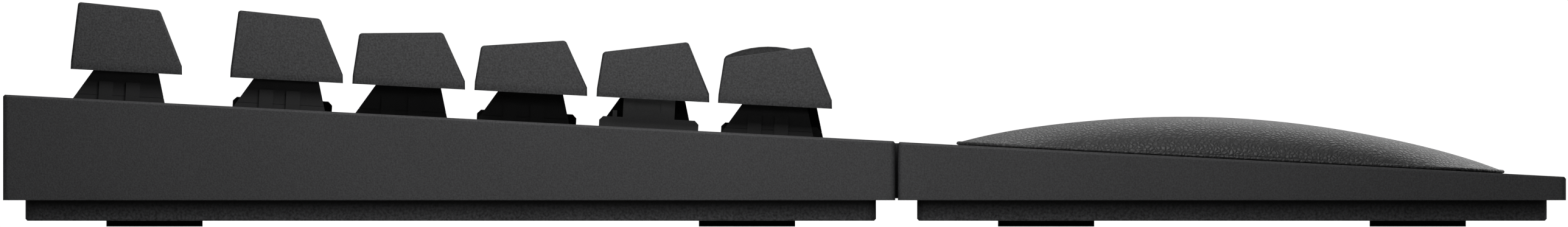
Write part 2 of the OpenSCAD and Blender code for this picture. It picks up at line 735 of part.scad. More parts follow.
// Metal shell of the cable socket with its tongue, soldered under the board.
module usb_socket() {
    color([0.7, 0.7, 0.72]) deck() translate([socket_x, socket_mouth_v, socket_w_mid]) rotate([90, 0, 0]) {
        difference() {
            linear_extrude(socket_l) stadium(socket_w, socket_h);
            translate([0, 0, -eps]) linear_extrude(socket_l - 1 + eps)
                stadium(socket_w - 2 * socket_t, socket_h - 2 * socket_t);
        }
        translate([-socket_tongue_w / 2, -socket_tongue_t / 2, 0.6])
            cube([socket_tongue_w, socket_tongue_t, socket_l - 1]);
    }
}
socket_tongue_w = 6.7;
socket_tongue_t = 0.7;

module stadium(w, h) {
    square([w - h, h], center = true);
    for (side = [-1, 1]) translate([side * (w - h) / 2, 0]) circle(h / 2);
}

guide_w = stem_w + 3 * slide_gap;
guide_l = stem_l + 3 * slide_gap;

// The part of a switch's wedge between two heights above the plate. Its sides lean inwards.
module housing_wedge(from, to) {
    rise = to - flange_t;
    low = from - flange_t;
    translate([0, switch_back, flange_t]) intersection() {
        across(upper_base_w) polygon([
            [low * tan(upper_front_lean) - upper_base_l / 2, low],
            [rise * tan(upper_front_lean) - upper_base_l / 2, rise],
            [upper_base_l / 2 - rise * tan(upper_back_lean), rise],
            [upper_base_l / 2 - low * tan(upper_back_lean), low]
        ]);
        to_back(upper_base_l) polygon([
            [low * tan(upper_side_lean) - upper_base_w / 2, low],
            [rise * tan(upper_side_lean) - upper_base_w / 2, rise],
            [upper_base_w / 2 - rise * tan(upper_side_lean), rise],
            [upper_base_w / 2 - low * tan(upper_side_lean), low]
        ]);
    }
}

// Lower half of a switch: flange, clip arms, a well for the stem and a locating post.
module lower_housing() {
    side = switch_hole - slide_gap;
    lean = tan(upper_side_lean);
    difference() {
        union() {
            translate([0, switch_back, -lower_depth / 2]) cube([side, side, lower_depth], center = true);
            translate([0, switch_back, flange_t / 2])
                cube([flange_side, flange_side, flange_t], center = true);
            for (x = [-1, 1], y = [-1, 1]) scale([x, 1, 1])
                translate([0, switch_back + y * clip_place, 0]) to_back(clip_w)
                    polygon([
                        [upper_base_w / 2 + face_gap, 0], [upper_base_w / 2 + face_gap, flange_t],
                        [upper_base_w / 2 + face_gap - (clip_top - flange_t) * lean, clip_top],
                        [flange_side / 2 - 0.1 - (clip_top - flange_t) * lean, clip_top],
                        [flange_side / 2 - 0.1, flange_t], [flange_side / 2 - 0.1, 0]
                    ]);
            translate([0, 0, -lower_depth - post_l]) cylinder(r = post_r, h = post_l + eps / 2);
            housing_wedge(flange_t - 0.2, split_h);
            housing_lip(0);
        }
        translate([-guide_w / 2, -guide_l / 2, lower_floor - lower_depth]) cube([guide_w, guide_l, tall]);
    }
}

// The lip where a switch's halves meet. It slopes up and inwards from the sides of the wedge at the joint.
module housing_lip(lift) {
    rise = split_h - flange_t;
    front = upper_base_l / 2 - rise * tan(upper_front_lean);
    back = upper_base_l / 2 - rise * tan(upper_back_lean);
    side = upper_base_w / 2 - rise * tan(upper_side_lean);
    top = rise + lip_h;
    translate([0, switch_back, flange_t + lift]) intersection() {
        across(upper_base_w) polygon([
            [-front, 0], [-front, rise], [lip_w - front, top], [back - lip_w, top], [back, rise], [back, 0]
        ]);
        to_back(upper_base_l) polygon([
            [-side, 0], [-side, rise], [lip_w - side, top], [side - lip_w, top], [side, rise], [side, 0]
        ]);
    }
}

// Upper half of a switch: a wedge-sided cover with the stem's opening in its top.
module upper_housing() {
    difference() {
        housing_wedge(split_h + face_gap, upper_top);
        housing_lip(face_gap);
        translate([-guide_w / 2, -guide_l / 2, 0]) cube([guide_w, guide_l, tall]);
    }
}

module switch_housings() {
    color([0.07, 0.07, 0.07]) for (key = all_keys) at_key(key) translate([0, stem_v(key), 0]) {
        lower_housing();
        upper_housing();
    }
}

spring_foot = lower_floor - lower_depth + face_gap / 2;
spring_top = stem_top - spring_seat_depth - face_gap / 2;

// One return spring in each switch, drawn as the sleeve that its turns fill.
module switch_springs() {
    color([0.75, 0.72, 0.6]) for (key = all_keys) at_key(key) translate([0, stem_v(key), spring_foot])
        difference() {
            cylinder(r = spring_r, h = spring_top - spring_foot);
            translate([0, 0, -eps]) cylinder(r = spring_r - spring_wire, h = tall);
        }
}

stab_lower_w = stab_w - 1.2;
stab_lower_front = stab_front - 0.5;
stab_lower_back = wire_back + wire_r + 0.8;
stab_lower_depth = 4.6;
stab_flange_back = stab_back + 1;
wire_slot_half = wire_r + slide_gap;
boss_well = boss_r + slide_gap;

// Housing of a stabiliser: it guides a slider and holds one end of the wire under the plate.
module stab_housing() {
    c = stab_chamfer;
    top = stab_shoulder;
    difference() {
        union() {
            translate([-stab_w / 2, -stab_front, 0]) cube([stab_w, stab_front + stab_flange_back, flange_t]);
            across(stab_w) polygon([
                [-stab_front, 0], [-stab_front, top - c], [c - stab_front, top],
                [stab_back - c, top], [stab_back, top - c], [stab_back, 0]
            ]);
            translate([-stab_w / 2, stab_tower_back - stab_tower_l / 2, 0])
                cube([stab_w, stab_tower_l, stab_tower_top]);
            translate([-stab_lower_w / 2, -stab_lower_front, -stab_lower_depth])
                cube([stab_lower_w, stab_lower_front + stab_lower_back, stab_lower_depth]);
            translate([-stab_w / 2, stab_post_back - stab_post_l / 2, 0])
                cube([stab_w, stab_post_l, top + stab_post_h]);
        }
        for (side = [-1, 1])
            translate([side * stab_w / 2, stab_recess_back, stab_tower_top - stab_recess_h / 2 + eps / 2])
                cube([2 * stab_recess_t, stab_recess_l, stab_recess_h + eps], center = true);
        guide = slider_side + 2 * slide_gap;
        translate([-guide / 2, -guide / 2, -tall / 2]) cube([guide, guide, tall]);
        translate([-boss_well, -boss_well, stem_top - travel - slide_gap])
            cube([2 * boss_well, 2 * boss_well, tall]);
        translate([-wire_slot_half, 0, -stab_lower_depth - eps])
            cube([2 * wire_slot_half, wire_back + wire_slot_half, stab_lower_depth + eps - 0.3]);
        translate([-stab_w, wire_back - wire_slot_half, -wire_drop - wire_slot_half])
            cube([2 * stab_w, 2 * wire_slot_half, 2 * wire_slot_half]);
    }
}

module stabiliser_housings() {
    color([0.06, 0.06, 0.06]) for (key = wide_keys) for (x = stab_places(key))
        at_key(key) translate([x, 0, 0]) stab_housing();
}

wire_angle = atan(wire_rise / wire_back);

// Bent spring-steel wire that ties the two sliders of a wide key together.
module stab_wire(key) {
    reach = stab_places(key)[1];
    color([0.75, 0.75, 0.78]) at_key(key) translate([0, wire_back, -wire_drop]) {
        translate([-reach, 0, 0]) rotate([0, 90, 0]) cylinder(r = wire_r, h = 2 * reach);
        for (x = [-reach, reach]) translate([x, 0, 0]) {
            sphere(wire_r);
            rotate([90 - wire_angle, 0, 0]) cylinder(r = wire_r, h = wire_arm);
        }
    }
}

module cross(span, t, h) {
    translate([0, 0, h / 2]) {
        cube([span, t, h], center = true);
        cube([t, span, h], center = true);
    }
}

// Stem of a switch: a block on the spring, with the cross that the cap is pushed on.
module stem() {
    difference() {
        union() {
            translate([-stem_w / 2, -stem_l / 2, stem_foot]) cube([stem_w, stem_l, stem_top - stem_foot]);
            translate([0, 0, stem_top - eps / 2]) cross(cross_span, cross_t, cross_h + eps / 2);
        }
        translate([0, 0, stem_foot - eps])
            cylinder(r = spring_r + slide_gap, h = stem_top - spring_seat_depth - stem_foot + eps);
    }
}

slider_slot_h = 2 * wire_r / cos(wire_angle) + slider_side * tan(wire_angle) + 0.3;
slider_slot_w = wire_rise - wire_drop;
slider_foot = slider_slot_w - slider_slot_h / 2 - 0.8;

// Slider of a stabiliser, with a slot for the wire's arm and the same cross as a stem.
module slider() {
    difference() {
        union() {
            translate([-slider_side / 2, -slider_side / 2, slider_foot])
                cube([slider_side, slider_side, stem_top - slider_foot]);
            translate([0, 0, stem_top - eps / 2]) cross(cross_span, cross_t, cross_h + eps / 2);
        }
        translate([0, 0, slider_slot_w]) cube([2 * wire_slot_half, tall, slider_slot_h], center = true);
    }
}

function arc_points(a, b, r, n) =
    let (mid = (a + b) / 2, along = b - a, d = norm(along),
        centre = mid + [along[1], -along[0]] / d * sqrt(r * r - d * d / 4),
        from = atan2(a[1] - centre[1], a[0] - centre[0]), to = atan2(b[1] - centre[1], b[0] - centre[0]))
    [for (i = [1 : n - 1]) centre + r * [cos(from + (to - from) * i / n), sin(from + (to - from) * i / n)]];

// Body of a cap. The inset and drop make the same shape smaller, for the hollow inside.
module cap_block(key, inset, drop) {
    row = key[0];
    foot = inset > 0 ? -eps : 0;
    half_d = cap_depth[row] / 2;
    front = is_space(key) ? space_top_front : cap_top_front[row];
    back = is_space(key) ? space_top_back : cap_top_back[row];
    a = [inset - front[0], front[1] - drop];
    b = [back[0] - inset, back[1] - drop];
    half_w = (key_units(key) * pitch - cap_gap) / 2;
    high = max(front[1], back[1]) + eps;
    lean = (high - cap_rim_h) * cap_side_lean;
    intersection() {
        across(2 * half_w) polygon(concat(
            [[inset - half_d, foot], [inset - half_d + cap_front_draft, cap_rim_h], a],
            is_space(key) ? arc_points(a, b, space_top_r, 8) : [],
            [b, [half_d - inset, foot]]
        ));
        to_back(2 * half_d) polygon([
            [inset - half_w, foot], [inset - half_w, cap_rim_h], [inset - half_w + lean, high],
            [half_w - inset - lean, high], [half_w - inset, cap_rim_h], [half_w - inset, foot]
        ]);
    }
}

// The dish that is scooped out of a cap's top, a cylinder along the top line.
module cap_dish(key) {
    front = cap_top_front[key[0]];
    back = cap_top_back[key[0]];
    tilt = atan2(back[1] - front[1], back[0] + front[0]);
    low = min(front[1], back[1]);
    half_w = (key_units(key) * pitch - cap_gap) / 2 - (low - cap_rim_h) * cap_side_lean - dish_edge;
    r = (half_w * half_w + dish_depth * dish_depth) / (2 * dish_depth);
    translate([0, -front[0], front[1]]) rotate([tilt, 0, 0]) translate([0, -tall / 2, r - dish_depth])
        rotate([-90, 0, 0]) cylinder(r = r, h = tall, $fn = 720);
}

// One keycap: a hollow shell with a boss over its stem and over each stabiliser slider.
module cap(key) {
    bosses = concat([[0, stem_v(key)]], [for (x = stab_places(key)) [x, 0]]);
    difference() {
        cap_block(key, 0, 0);
        if (!is_space(key)) cap_dish(key);
        difference() {
            cap_block(key, is_space(key) ? space_wall : cap_wall, cap_roof);
            for (p = bosses) translate([p[0], p[1], boss_foot]) cylinder(r = boss_r, h = tall);
        }
        for (p = bosses) translate([p[0], p[1], boss_foot - eps])
            cross(cross_span + 2 * face_gap, cross_t + 2 * face_gap, cross_h + eps + face_gap);
        for (x = stab_places(key)) translate([x, stab_back + slide_gap - relief_l / 2, 0])
            cube([stab_w + 2 * slide_gap, relief_l, 2 * relief_h], center = true);
        if (is_space(key)) translate([0, stem_v(key) + switch_top_front - slide_gap + relief_l / 2, 0])
            cube([switch_top_w + 2 * slide_gap, relief_l, 2 * switch_relief_h], center = true);
    }
}
relief_l = 2;
// Height of a cap's lower edges above the plate when it is pressed.
pressed_h = plate_drop + cap_lift - travel;
// Inside a wide cap the rear wall is relieved where it passes the stabilisers' shoulders.
relief_h = max(0.1, stab_shoulder + slide_gap - pressed_h);
// Inside the space bar the front wall is relieved where it passes the top of its switch.
switch_relief_h = upper_top + slide_gap - pressed_h;
switch_top_front = switch_back - upper_base_l / 2 + (upper_top - flange_t) * tan(upper_front_lean);
switch_top_w = upper_base_w - 2 * (upper_top - flange_t) * tan(upper_side_lean);

// The moving pieces of each listed key: cap, stem and stabiliser sliders, all on one slide.
module keys(list) {
    for (key = list) {
        color([0.22, 0.22, 0.22]) at_key(key) translate([0, 0, plate_drop + cap_lift]) cap(key);
        color([0.1, 0.1, 0.1]) at_key(key) translate([0, stem_v(key), 0]) stem();
        color([0.1, 0.1, 0.1]) for (x = stab_places(key)) at_key(key) translate([x, 0, 0]) slider();
    }
}

// Screws from below, through the tray's bosses into the posts of the top.
module case_screws() {
    color([0.3, 0.3, 0.32]) for (p = screw_places) translate([p[0], p[1], screw_head_z]) {
        cylinder(r = screw_r, h = screw_l);
        translate([0, 0, -screw_head_h]) difference() {
            cylinder(r = screw_head_r, h = screw_head_h);
            translate([0, 0, -eps]) cross(2, 0.6, eps + 0.9);
        }
    }
}

// Tilt foot: a flap on two pins, folded up into its pocket.
module tilt_foot(side) {
    r = tilt_t / 2;
    color([0.1, 0.1, 0.1]) translate([side * tilt_x, tilt_axis_y, tilt_axis_z]) {
        rotate([0, 90, 0]) {
            cylinder(r = r, h = tilt_w, center = true);
            cylinder(r = tilt_pin_r, h = tilt_w + 2 * (pocket_gap + tilt_pin_l), center = true);
        }
        across(tilt_w) polygon([
            [0, -r], [0, r], [tilt_tip_top - tilt_l, r], [-tilt_l, r - tilt_tip_top],
            [-tilt_l, tilt_tip_low - r], [tilt_tip_low - tilt_l, -r]
        ]);
    }
}

// Base of the wrist rest: a skirted top with ribs under it.
module rest_base() {
    inner_w = body_w - 2 * skirt_t;
    rib_l = rest_depth - 2 * skirt_t;
    color([0.2, 0.2, 0.2]) difference() {
        union() {
            difference() {
                skirted_block(rest_front_y, rest_depth, rest_front_h);
                skirt_hollow(rest_front_y, rest_depth, rest_front_h);
            }
            rest_field(0);
            intersection() {
                translate([0, rest_front_y, rest_front_h]) rotate([slope, 0, 0])
                    for (i = [1 : rest_ribs])
                        translate([inner_w * (i / (rest_ribs + 1) - 0.5) - skirt_t / 2, rest_rib_front, 0])
                            translate([0, 0, -top_t - rest_rib_h]) cube([skirt_t, rib_l, rest_rib_h + eps]);
                skirted_block(rest_front_y, rest_depth, rest_front_h);
            }
        }
        snaps(rest_tray_front_y, rest_tray_back_y, rest_front_y, rest_back_y, rest_snap_z, seat_gap);
        magnets(rest_back_y, -1, seat_gap);
    }
}
rest_rib_front = 22;

// Pan of the wrist rest: a tray that snaps into the base.
module rest_pan() {
    color([0.13, 0.13, 0.13]) difference() {
        union() {
            difference() {
                tray_block(rest_tray_front_y, rest_tray_back_y, rest_tray_top_z);
                tray_hollow(rest_tray_front_y, rest_tray_back_y);
            }
            snaps(rest_tray_front_y, rest_tray_back_y, rest_front_y, rest_back_y, rest_snap_z, 0);
        }
        foot_pads(rest_tray_front_y, rest_tray_back_y, seat_gap);
    }
}

cushion_half_w = body_w / 2 - cushion_side_margin;
cushion_half_d = rest_depth / 2 / cos(slope) - cushion_margin;
cushion_steps = 9;
cushion_cells = 16;

// Fullness between the crown, at 0, and the foot, at 1. From front to back it is a long dome, at the
// sides a short round.
function fullness(t, bend, round) = pow(max(0, 1 - pow(min(1, max(0, t)), bend)), round);
function dome(t) = fullness(t, 2.2, 0.92);
function side_round(t) = fullness(t, 2, 0.6);
function cushion_half_d_at(x) =
    let (over = max(0, abs(x) - (cushion_half_w - cushion_corner_r)))
    cushion_half_d - cushion_corner_r + sqrt(max(0, pow(cushion_corner_r, 2) - pow(over, 2)));
function cushion_h(x, t) =
    let (end_t = (abs(x) - (cushion_half_w - cushion_fall)) / cushion_fall)
    cushion_band + (cushion_crown - cushion_band) * dome(t) * side_round(end_t);
cushion_end_x = [for (i = [0 : cushion_steps]) cushion_half_w - cushion_fall * pow(i / cushion_steps, 1.7)];
cushion_x = concat([for (x = cushion_end_x) -x], [0], [for (i = [cushion_steps : -1 : 0]) cushion_end_x[i]]);
function cushion_section(x) =
    let (d = cushion_half_d_at(x))
    concat(
        [[x, -d, 0]],
        [
            for (j = [0 : cushion_cells])
                let (t = -cos(180 * j / cushion_cells)) [x, d * t, cushion_h(x, abs(t))]
        ],
        [[x, d, 0]]
    );

// Cushion: foam under a leather-like cover, a low pillow with a seam band round its foot.
module rest_cushion() {
    n = cushion_cells + 3;
    points = [for (x = cushion_x) each cushion_section(x)];
    last = (len(cushion_x) - 1) * n;
    skin = [
        for (i = [0 : len(cushion_x) - 2], j = [0 : n - 1])
            let (a = i * n + j, b = i * n + (j + 1) % n) each [[a, b, b + n], [a, b + n, a + n]]
    ];
    ends = [for (j = [1 : n - 2]) each [[0, j + 1, j], [last, last + j, last + j + 1]]];
    color([0.16, 0.16, 0.16]) translate([0, rest_front_y, rest_front_h]) rotate([slope, 0, 0])
        translate([0, rest_depth / 2 / cos(slope), face_gap]) polyhedron(points, concat(skin, ends));
}

// The rubber feet of the keyboard and of the wrist rest.
module keyboard_feet() {
    color([0.03, 0.03, 0.03]) foot_pads(tray_front_y, tray_back_y, 0);
}

module rest_feet() {
    color([0.03, 0.03, 0.03]) foot_pads(rest_tray_front_y, rest_tray_back_y, 0);
}

// The magnets on both sides of the gap between keyboard and wrist rest.
module case_magnets() {
    color([0.6, 0.6, 0.62]) magnets(case_front_y, 1, 0);
}

module rest_magnets() {
    color([0.6, 0.6, 0.62]) magnets(rest_back_y, -1, 0);
}

top_case();
bottom_case();
switch_plate();
circuit_board();
usb_socket();
switch_housings();
switch_springs();
stabiliser_housings();
case_screws();
keyboard_feet();
tilt_foot(-1);  // tilt_foot_left
tilt_foot(1);  // tilt_foot_right
case_magnets();
rest_base();
rest_pan();
rest_cushion();
rest_feet();
rest_magnets();
for (i = [0 : len(wide_names) - 1]) {
    keys([wide_keys[i]]);
    stab_wire(wide_keys[i]);
}
for (row = letter_rows) {
    for (i = [0 : len(row[1]) - 1]) {
        keys([[row[0], i + 1]]);
    }
}
for (i = [0 : len(block_names) - 1]) {
    keys(blocks[i]);
}
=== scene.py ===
import json
import math

import bmesh
import bpy
from mathutils import Matrix, Vector, noise

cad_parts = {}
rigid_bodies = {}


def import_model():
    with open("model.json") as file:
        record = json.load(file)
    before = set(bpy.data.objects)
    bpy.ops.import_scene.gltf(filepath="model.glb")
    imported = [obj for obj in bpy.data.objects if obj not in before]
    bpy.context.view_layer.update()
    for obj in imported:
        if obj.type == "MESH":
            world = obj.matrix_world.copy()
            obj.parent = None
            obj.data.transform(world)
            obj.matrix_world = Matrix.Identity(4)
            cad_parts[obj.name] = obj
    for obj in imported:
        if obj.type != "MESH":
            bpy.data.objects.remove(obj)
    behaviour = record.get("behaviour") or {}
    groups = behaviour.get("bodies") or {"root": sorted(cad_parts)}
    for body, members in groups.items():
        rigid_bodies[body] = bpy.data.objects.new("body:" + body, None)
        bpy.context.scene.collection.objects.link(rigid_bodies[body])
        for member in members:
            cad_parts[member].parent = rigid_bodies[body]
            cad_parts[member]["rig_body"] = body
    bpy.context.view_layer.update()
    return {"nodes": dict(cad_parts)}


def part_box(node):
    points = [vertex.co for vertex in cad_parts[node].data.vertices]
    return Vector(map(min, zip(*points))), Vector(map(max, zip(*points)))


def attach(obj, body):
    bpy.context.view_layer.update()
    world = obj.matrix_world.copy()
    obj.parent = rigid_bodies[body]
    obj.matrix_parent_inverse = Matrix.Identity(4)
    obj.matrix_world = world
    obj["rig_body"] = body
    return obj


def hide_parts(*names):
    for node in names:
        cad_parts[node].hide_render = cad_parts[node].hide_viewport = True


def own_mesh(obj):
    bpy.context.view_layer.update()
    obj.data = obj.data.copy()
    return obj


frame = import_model()
MM = 0.001

# ---------------------------------------------------------------- keyboard case
# Two mouldings of black plastic: a sloping frame with straight skirts, and a tray that closes it from below.
# The mould's spark-eroded walls leave a fine grain on them, which is coarser on the tray. The tray's colour
# also carries painted shade: darker towards the top of its wall under the skirt, lighter towards its foot.
CASE_BLACK = (0.0268, 0.0268, 0.0286)
TRAY_BLACK = (0.020, 0.020, 0.021)


def build_moulded_grain():
    group = bpy.data.node_groups.new("moulded_grain", "ShaderNodeTree")
    face = group.interface
    face.new_socket("Place", in_out="INPUT", socket_type="NodeSocketVector")
    for name, value in (("Grain per metre", 3000.0), ("Tone", 0.25), ("Patches", 0.1)):
        face.new_socket(name, in_out="INPUT", socket_type="NodeSocketFloat").default_value = value
    face.new_socket("Colour", in_out="INPUT", socket_type="NodeSocketColor")
    face.new_socket("Colour", in_out="OUTPUT", socket_type="NodeSocketColor")
    face.new_socket("Height", in_out="OUTPUT", socket_type="NodeSocketFloat")
    made, join = group.nodes.new, group.links.new
    given, taken = made("NodeGroupInput"), made("NodeGroupOutput")
    pits, patches = made("ShaderNodeTexNoise"), made("ShaderNodeTexNoise")
    join(given.outputs["Place"], pits.inputs["Vector"])
    join(given.outputs["Place"], patches.inputs["Vector"])
    join(given.outputs["Grain per metre"], pits.inputs["Scale"])
    pits.inputs["Detail"].default_value = 2.0
    patches.inputs["Scale"].default_value = 60.0
    patches.inputs["Detail"].default_value = 3.0

    def spread(source, amount):
        centred = made("ShaderNodeMath")
        centred.operation = "SUBTRACT"
        centred.inputs[1].default_value = 0.5
        join(source, centred.inputs[0])
        scaled = made("ShaderNodeMath")
        scaled.operation = "MULTIPLY"
        join(centred.outputs[0], scaled.inputs[0])
        join(amount, scaled.inputs[1])
        return scaled.outputs[0]

    both = made("ShaderNodeMath")
    join(spread(pits.outputs["Fac"], given.outputs["Tone"]), both.inputs[0])
    join(spread(patches.outputs["Fac"], given.outputs["Patches"]), both.inputs[1])
    level = made("ShaderNodeMath")
    level.inputs[1].default_value = 1.0
    join(both.outputs[0], level.inputs[0])
    tint = made("ShaderNodeVectorMath")
    tint.operation = "SCALE"
    join(given.outputs["Colour"], tint.inputs[0])
    join(level.outputs[0], tint.inputs["Scale"])
    join(tint.outputs[0], taken.inputs["Colour"])
    join(pits.outputs["Fac"], taken.inputs["Height"])
    return group


moulded_grain = build_moulded_grain()


def moulded(name, colour, grain, tone, patches, roughness, bump, specular=0.5, edge=0.0):
    """A moulded surface: grain per metre, and the bump's height and the edges' radius in metres."""
    material = bpy.data.materials.new(name)
    material.use_nodes = True
    made, join = material.node_tree.nodes.new, material.node_tree.links.new
    shader = material.node_tree.nodes["Principled BSDF"]
    shader.inputs["Roughness"].default_value = roughness
    shader.inputs["Specular IOR Level"].default_value = specular
    place, surface, relief = made("ShaderNodeTexCoord"), made("ShaderNodeGroup"), made("ShaderNodeBump")
    surface.node_tree = moulded_grain
    surface.inputs["Grain per metre"].default_value = grain
    surface.inputs["Tone"].default_value = tone
    surface.inputs["Patches"].default_value = patches
    surface.inputs["Colour"].default_value = (*colour, 1)
    relief.inputs["Strength"].default_value = 1.0
    relief.inputs["Distance"].default_value = bump
    join(place.outputs["Object"], surface.inputs["Place"])
    join(surface.outputs["Colour"], shader.inputs["Base Color"])
    join(surface.outputs["Height"], relief.inputs["Height"])
    join(relief.outputs["Normal"], shader.inputs["Normal"])
    if edge:
        softened = made("ShaderNodeBevel")
        softened.samples = 6
        softened.inputs["Radius"].default_value = edge
        join(softened.outputs["Normal"], relief.inputs["Normal"])
    return material


def paint_overhang_shade(material, foot, head, foot_tone, head_tone):
    """Paints shade into a material's colour: scales it by the height in metres, darker towards the top of a
    wall that lies under an overhang, where the overhang's shadow falls, and lighter towards its foot.
    """
    made, join = material.node_tree.nodes.new, material.node_tree.links.new
    surface = next(n for n in material.node_tree.nodes if n.type == "GROUP")
    place = next(n for n in material.node_tree.nodes if n.type == "TEX_COORD")
    parts, level = made("ShaderNodeSeparateXYZ"), made("ShaderNodeMapRange")
    level.inputs["From Min"].default_value = foot
    level.inputs["From Max"].default_value = head
    level.inputs["To Min"].default_value = foot_tone
    level.inputs["To Max"].default_value = head_tone
    tint = made("ShaderNodeVectorMath")
    tint.operation = "SCALE"
    join(place.outputs["Object"], parts.inputs[0])
    join(parts.outputs["Z"], level.inputs["Value"])
    join(surface.outputs["Colour"], tint.inputs[0])
    join(level.outputs["Result"], tint.inputs["Scale"])
    join(tint.outputs[0], material.node_tree.nodes["Principled BSDF"].inputs["Base Color"])


def finish_node(material, *names):
    for name in names:
        node = frame["nodes"][name]
        if not node.material_slots:
            node.data.materials.append(material)
        for place in node.material_slots:
            place.material = material


case_plastic = moulded("case_plastic", CASE_BLACK, 4200, 2.2, 0.25, 0.55, 0.00003, edge=0.00025)
tray_plastic = moulded("tray_plastic", TRAY_BLACK, 2600, 2.4, 0.3, 0.6, 0.00005, 0.15, edge=0.0002)
# Painted shade: the tray's colour is scaled by height, from 4.2 times at its foot to nearly black at the top
# of its wall, standing in for the shadow under the skirt.
paint_overhang_shade(tray_plastic, 0.0010, 0.0038, 4.2, 0.02)
finish_node(case_plastic, "top_case")
finish_node(tray_plastic, "bottom_case")

# ---------------------------------------------------------------- plate, board and socket
# The switches clip into a steel plate with a satin black coat. Under it lies the circuit board, green under
# its solder mask, and the cable socket is a plated shell that stands just inside the rear wall.
PLATE_BLACK = (0.012, 0.012, 0.012)
MASK_GREEN = (0.008, 0.05, 0.022)
SOCKET_METAL = (0.62, 0.62, 0.64)

plate_coat = moulded("plate_coat", PLATE_BLACK, 6000, 0.5, 0.2, 0.4, 0.00001)
board_laminate = moulded("board_laminate", MASK_GREEN, 900, 0.3, 0.4, 0.3, 0.00001)
finish_node(plate_coat, "switch_plate")
finish_node(board_laminate, "circuit_board")


def bare_metal(name, colour, grain, tone, roughness, bump):
    material = moulded(name, colour, grain, tone, 0.15, roughness, bump)
    material.node_tree.nodes["Principled BSDF"].inputs["Metallic"].default_value = 1.0
    return material


socket_metal = bare_metal("socket_metal", SOCKET_METAL, 5000, 0.15, 0.25, 0.000004)
finish_node(socket_metal, "usb_socket")

# ---------------------------------------------------------------- switches and stabilisers
# Each switch is a smooth black housing in two halves, clipped into the plate. The wide keys also have
# stabilisers: black housings with sliders, tied together by a bent wire of bright spring steel.
SWITCH_BLACK = (0.0115, 0.0115, 0.012)
STABILISER_BLACK = (0.078, 0.078, 0.08)
WIRE_STEEL = (0.58, 0.58, 0.60)

switch_plastic = moulded("switch_plastic", SWITCH_BLACK, 5000, 0.4, 0.2, 0.55, 0.000006, 0.2)
stabiliser_plastic = moulded(
    "stabiliser_plastic", STABILISER_BLACK, 5000, 0.4, 0.2, 0.55, 0.000006, 0.4)
wire_steel = bare_metal("wire_steel", WIRE_STEEL, 2500, 0.2, 0.28, 0.000006)
finish_node(switch_plastic, "switch_housings")
finish_node(stabiliser_plastic, "stabiliser_housings")
finish_node(wire_steel, *[name for name in frame["nodes"] if name.endswith("_wire")])

# ---------------------------------------------------------------- screws, feet and magnets
# Blackened screws hold the tray from below. The keyboard stands on dull rubber pads, two tilt feet fold into
# the tray, and nickel-plated magnets sit behind the front wall.
SCREW_BLACK = (0.09, 0.09, 0.095)
RUBBER_BLACK = (0.011, 0.011, 0.011)
NICKEL = (0.55, 0.54, 0.52)

screw_steel = bare_metal("screw_steel", SCREW_BLACK, 3000, 0.25, 0.38, 0.000006)
foot_rubber = moulded("foot_rubber", RUBBER_BLACK, 1800, 0.6, 0.3, 0.85, 0.00004, 0.3)
magnet_metal = bare_metal("magnet_metal", NICKEL, 2500, 0.15, 0.25, 0.000004)
finish_node(screw_steel, "case_screws")
finish_node(foot_rubber, "keyboard_feet", "rest_feet")
# The tilt feet take the tray's material, with its painted shade: darker by height towards the top, lighter
# towards the foot.
finish_node(tray_plastic, "tilt_foot_left", "tilt_foot_right")
finish_node(magnet_metal, "case_magnets", "rest_magnets")

# ---------------------------------------------------------------- keycaps and stems
# Thick-walled caps in six sculpted rows, moulded in black plastic with a fine grain. Each is hollow, with an
# upright rim round its foot, a dish in its top, and a boss that is pushed onto the cross of its stem. Sizes
# without a unit are in millimetres, on the sloping deck.
SLOPE = math.radians(3)
CASE_FRONT_H = 13.3 * MM
CAP_BLACK = (0.0255, 0.0255, 0.027)
ROW_PITCH = 19.05
FRONT_ROW = 19.0
RIM_H = 1.35
RIM_DRAFT = 0.1
SIDE_LEAN = 0.28
EDGE_R = 0.42
CAP_WALL, SPACE_WALL = 1.0, 0.65
RELIEF_BACK = 8.4
RELIEF_WIDTH = 7.6
RELIEF_H = 0.85
CAP_ROOF = 2.0
DISH_DEPTH = 0.7
DISH_EDGE = 0.5
BOSS_R = 2.75
BOSS_FOOT = 1.43
BOSS_HEAD = 1.35
SPACE_TOP_R = 15.8
SPACE_WIDTH = 60.0
DEEPEST_STEM = 15.0
NEAR = 0.01
WALL_BAND = 1.2
# From the front row to the function row: the front and the back end of a cap's top line, each as its distance
# from the cap's middle and its height above the cap's foot, in millimetres.
TOP_LINES = [
    ((5.1, 9.57), (8.27, 6.98)), ((5.01, 9.27), (8.17, 7.0)), ((4.99, 8.51), (8.11, 6.96)),
    ((4.89, 8.74), (8.13, 7.93)), ((4.75, 9.86), (8.05, 10.53)), ((4.75, 9.86), (8.05, 10.53)),
]
SPACE_TOP_LINE = ((5.1, 8.1), (8.27, 7.27))

keycap_plastic = moulded("keycap_plastic", CAP_BLACK, 3600, 3.0, 0.2, 0.62, 0.00004, 0.4)
stem_plastic = moulded("stem_plastic", SWITCH_BLACK, 5000, 0.4, 0.2, 0.35, 0.000006)
deck = (
    Matrix.Translation((0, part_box("top_case")[0].y, CASE_FRONT_H)) @ Matrix.Rotation(SLOPE, 4, "X")
    @ Matrix.Diagonal((MM, MM, MM, 1))
)
undeck = deck.inverted()


def split_solids(node):
    """Each solid of a CAD node, with the corners of its box, in millimetres on the deck."""
    merged = bmesh.new()
    merged.from_mesh(node.data)
    merged.transform(undeck)
    bmesh.ops.remove_doubles(merged, verts=merged.verts, dist=0.001)
    left = set(merged.verts)
    while left:
        found, edge = set(), [left.pop()]
        while edge:
            vert = edge.pop()
            found.add(vert)
            near = {e.other_vert(vert) for e in vert.link_edges} & left
            left -= near
            edge.extend(near)
        low = Vector([min(v.co[i] for v in found) for i in range(3)])
        high = Vector([max(v.co[i] for v in found) for i in range(3)])
        yield merged, found, low, high


def bevelled(mesh, edges, radius, segments):
    bmesh.ops.bevel(
        mesh, geom=edges, offset=radius, offset_type="OFFSET", segments=segments, profile=0.5, affect="EDGES",
        material=-1, clamp_overlap=True)


